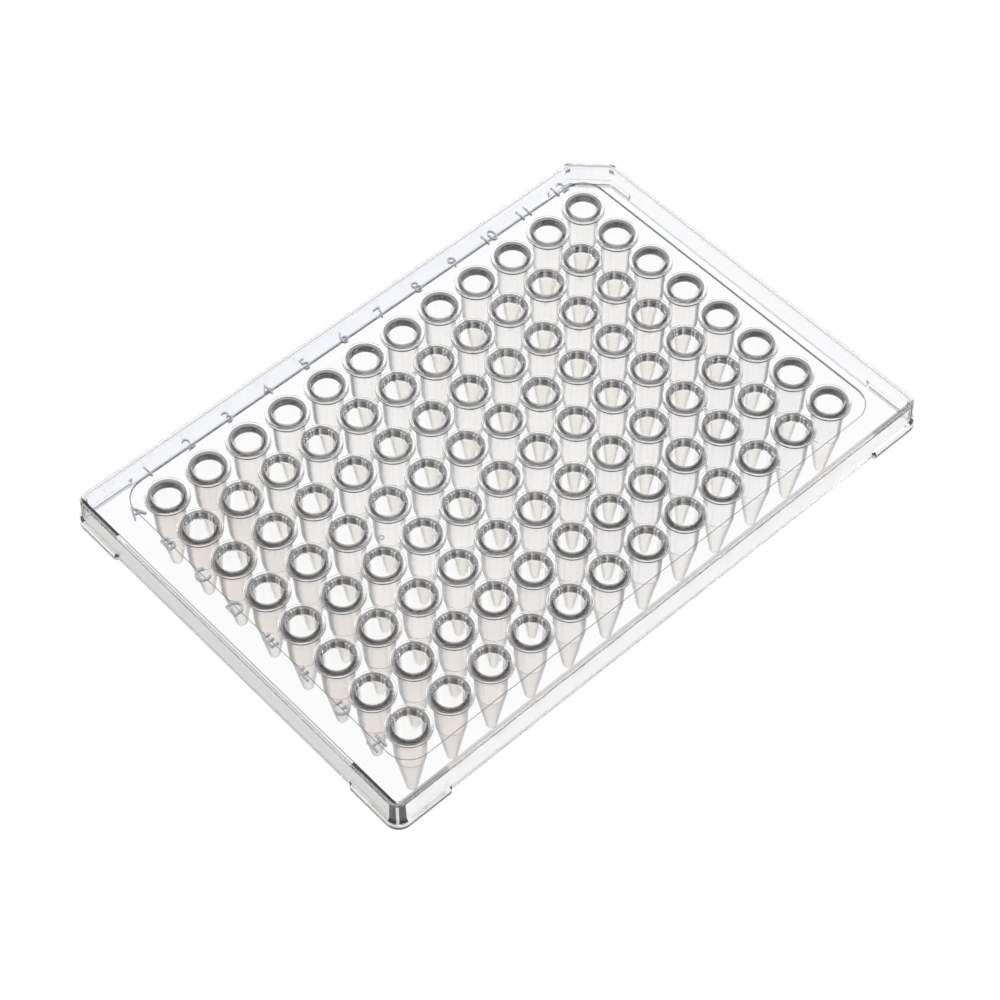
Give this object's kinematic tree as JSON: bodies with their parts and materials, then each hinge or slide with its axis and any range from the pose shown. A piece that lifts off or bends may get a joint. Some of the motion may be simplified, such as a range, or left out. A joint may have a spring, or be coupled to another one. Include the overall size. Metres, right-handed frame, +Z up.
{
  "type": "well plate",
  "caption": "Clear one-piece plate: a grid of thin conical wells with raised rims hangs from a flat deck inside a short skirt with one cut corner.",
  "frame": {"origin": "middle of the grid of wells, on the plane that the tips of the wells stand on", "axes": "+X along a row of wells towards the last column, +Y towards row A, +Z up out of the wells"},
  "size_m": [0.1244, 0.0856, 0.0204],
  "materials": {
    "clear_plastic": "clear, polished"
  },
  "bodies": {
    "root": {"plate": "clear_plastic"}
  },
  "joints": []
}
